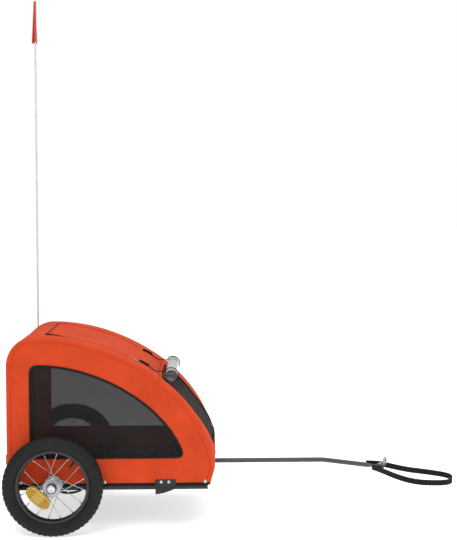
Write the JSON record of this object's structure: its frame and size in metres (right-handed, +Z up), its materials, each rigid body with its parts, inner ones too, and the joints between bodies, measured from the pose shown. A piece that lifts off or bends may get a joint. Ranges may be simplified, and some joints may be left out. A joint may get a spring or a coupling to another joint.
{
  "type": "bicycle trailer",
  "caption": "Two-wheeled bicycle trailer with a rounded fabric cabin, net windows, a rolled rain cover, a side tow bar with an axle coupler and strap, and a tall safety flag.",
  "frame": {"origin": "on the ground, below the middle of the part's length and width, the loose safety strap left out", "axes": "+X forward along the tow bar, +Y the trailer's left side, +Z up"},
  "size_m": [1.4183, 0.6112, 1.668],
  "materials": {
    "frame_black": "satin black paint on steel tube",
    "hoop_steel": "dark grey powder coat",
    "plastic_black": "black moulded plastic, fine grain",
    "board_black": "dark ribbed floor board",
    "cover_fabric": "orange plain-weave polyester",
    "net_fabric": "black knitted mosquito net",
    "webbing_black": "black woven webbing",
    "zinc_steel": "zinc plated",
    "clear_film": "clear soft film, rolled",
    "reflector_white": "clear prismatic reflector",
    "reflector_red": "red prismatic reflector",
    "reflector_amber": "amber prismatic reflector",
    "pole_white": "light grey fibreglass rod",
    "pennant_fabric": "thin orange-red polyester",
    "tyre_rubber": "black rubber with small tread blocks",
    "rim_black": "gloss black rim",
    "spoke_steel": "bright drawn wire",
    "hub_zinc": "zinc plated pressed steel",
    "bearing_steel": "bright bearing steel",
    "valve_rubber": "black rubber",
    "bar_steel": "dark grey powder coat"
  },
  "bodies": {
    "cabin": {"rail_right": "frame_black", "rail_left": "frame_black", "rail_front": "frame_black", "rail_rear": "frame_black", "rail_axle": "frame_black", "hoop_right": "hoop_steel", "hoop_left": "hoop_steel", "crossbar_rear": "hoop_steel", "crossbar_front": "hoop_steel", "crossbar_sockets": "plastic_black", "floor_board": "board_black", "side_panel_right": "cover_fabric", "side_panel_left": "cover_fabric", "rear_panel": "cover_fabric", "roof_panel": "cover_fabric", "front_panel": "cover_fabric", "side_window_right": "net_fabric", "side_window_left": "net_fabric", "front_window": "net_fabric", "rear_window": "net_fabric", "roof_hatch_zip": "webbing_black", "zip_slider": "zinc_steel", "rain_cover_roll": "clear_film", "roll_ties": "webbing_black", "tie_tabs": "webbing_black", "front_reflector": "reflector_white", "rear_reflectors": "reflector_red", "front_buckle": "plastic_black", "cover_screws": "zinc_steel", "side_bracket": "frame_black", "tow_bracket": "frame_black", "flag_socket": "plastic_black", "axle_receiver_right": "hoop_steel", "axle_receiver_left": "hoop_steel", "axle_right": "zinc_steel", "axle_left": "zinc_steel", "tow_pivot_bolt": "zinc_steel"},
    "wheel_right": {"tyre_right": "tyre_rubber", "rim_right": "rim_black", "spokes_right": "spoke_steel", "hub_right": "hub_zinc", "bearings_right": "bearing_steel", "spoke_reflector_right": "reflector_amber", "valve_right": "valve_rubber"},
    "wheel_left": {"tyre_left": "tyre_rubber", "rim_left": "rim_black", "spokes_left": "spoke_steel", "hub_left": "hub_zinc", "bearings_left": "bearing_steel", "spoke_reflector_left": "reflector_amber", "valve_left": "valve_rubber"},
    "button_right": {"button_right": "zinc_steel"},
    "button_left": {"button_left": "zinc_steel"},
    "tow_arm": {"tow_bar": "bar_steel", "hitch_bolt": "zinc_steel", "safety_strap": "webbing_black"},
    "coupler": {"hitch_coupler": "hub_zinc"},
    "flag": {"flag_pole": "pole_white", "flag_pennant": "pennant_fabric"}
  },
  "joints": [
    {"name": "wheel_right_spin", "type": "hinge", "parent": "cabin", "child": "wheel_right", "pos_m": [-0.45898, -0.272, 0.15], "axis": [0, 1, 0], "continuous": true},
    {"name": "wheel_left_spin", "type": "hinge", "parent": "cabin", "child": "wheel_left", "pos_m": [-0.45898, 0.272, 0.15], "axis": [0, 1, 0], "continuous": true},
    {"name": "button_right_press", "type": "slide", "parent": "cabin", "child": "button_right", "axis": [0, 1, 0], "range_m": [0, 0.004], "stiffness_N_per_m": 900, "springref_m": -0.001},
    {"name": "button_left_press", "type": "slide", "parent": "cabin", "child": "button_left", "axis": [0, -1, 0], "range_m": [0, 0.004], "stiffness_N_per_m": 900, "springref_m": -0.001},
    {"name": "tow_arm_swing", "type": "hinge", "parent": "cabin", "child": "tow_arm", "pos_m": [-0.11898, 0.215, 0.11], "axis": [0, 0, 1], "range_deg": [-90, 0]},
    {"name": "coupler_swivel", "type": "hinge", "parent": "tow_arm", "child": "coupler", "pos_m": [0.58862, 0.109, 0.1153], "axis": [0, 0, 1], "range_deg": [-80, 80]},
    {"name": "flag_pole_lift", "type": "slide", "parent": "cabin", "child": "flag", "axis": [0, 0, 1], "range_m": [0, 0.075]}
  ]
}
